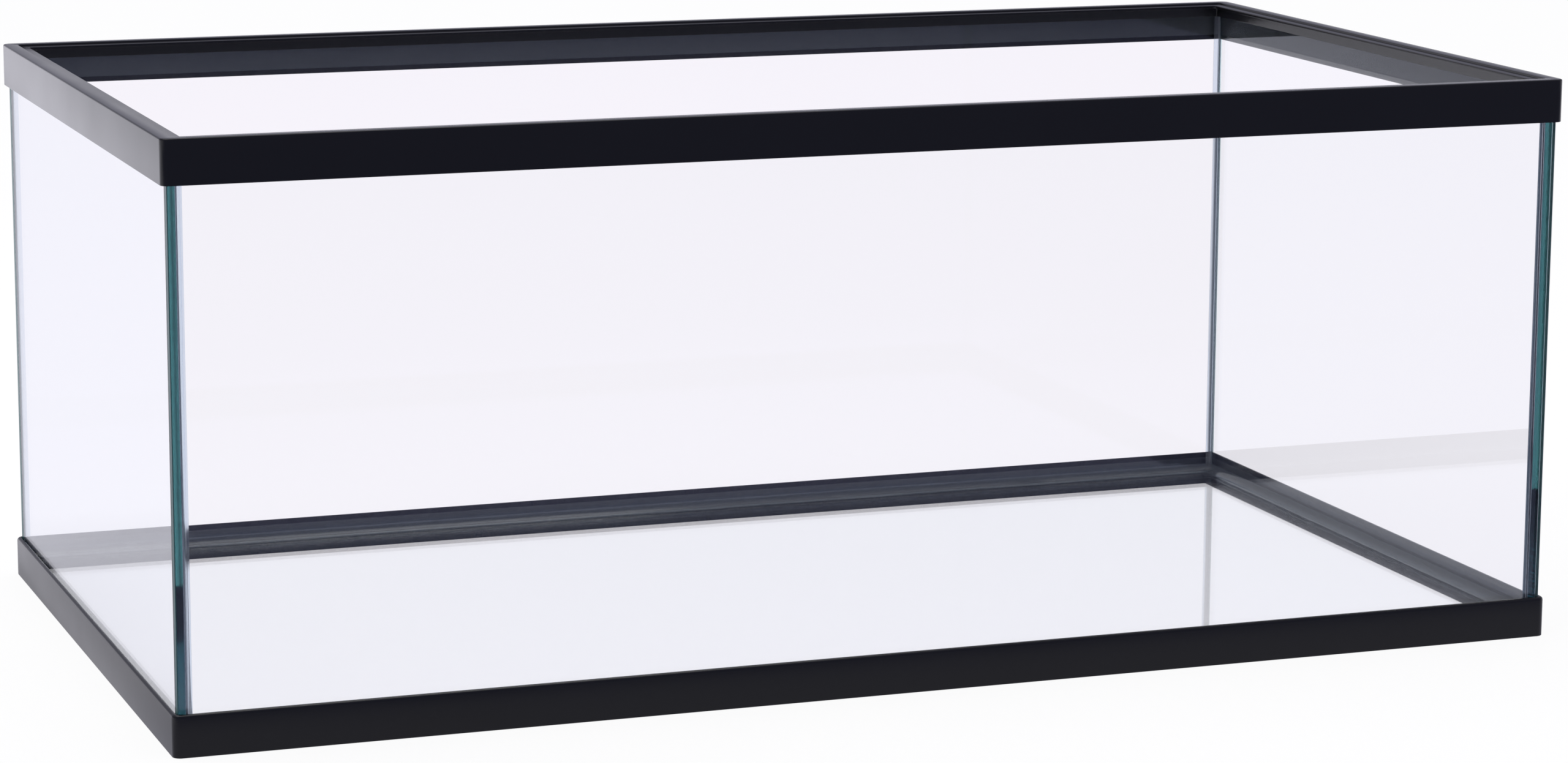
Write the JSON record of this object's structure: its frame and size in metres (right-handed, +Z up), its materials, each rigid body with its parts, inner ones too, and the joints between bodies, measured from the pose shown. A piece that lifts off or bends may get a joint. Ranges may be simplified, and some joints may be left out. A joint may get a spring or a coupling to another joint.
{
  "type": "framed glass aquarium",
  "caption": "Open rectangular glass tank with black moulded top and base frames and clear silicone seams.",
  "frame": {"origin": "centre of the footprint, on the surface that the tank stands on", "axes": "+X along the tank's length to the right, -Y towards the front, +Z up"},
  "size_m": [0.768, 0.422, 0.309],
  "materials": {
    "frame_plastic": "satin moulded black",
    "glass": "clear float glass, green at its edges",
    "silicone": "clear neutral silicone, finger tooled"
  },
  "bodies": {
    "root": {"top_frame": "frame_plastic", "base_frame": "frame_plastic", "front_pane": "glass", "rear_pane": "glass", "left_pane": "glass", "right_pane": "glass", "bottom_pane": "glass", "front_floor_seal": "silicone", "rear_floor_seal": "silicone", "left_floor_seal": "silicone", "right_floor_seal": "silicone", "front_left_corner_seal": "silicone", "front_right_corner_seal": "silicone", "rear_left_corner_seal": "silicone", "rear_right_corner_seal": "silicone", "top_frame_bed": "silicone", "base_frame_bed": "silicone"}
  },
  "joints": []
}
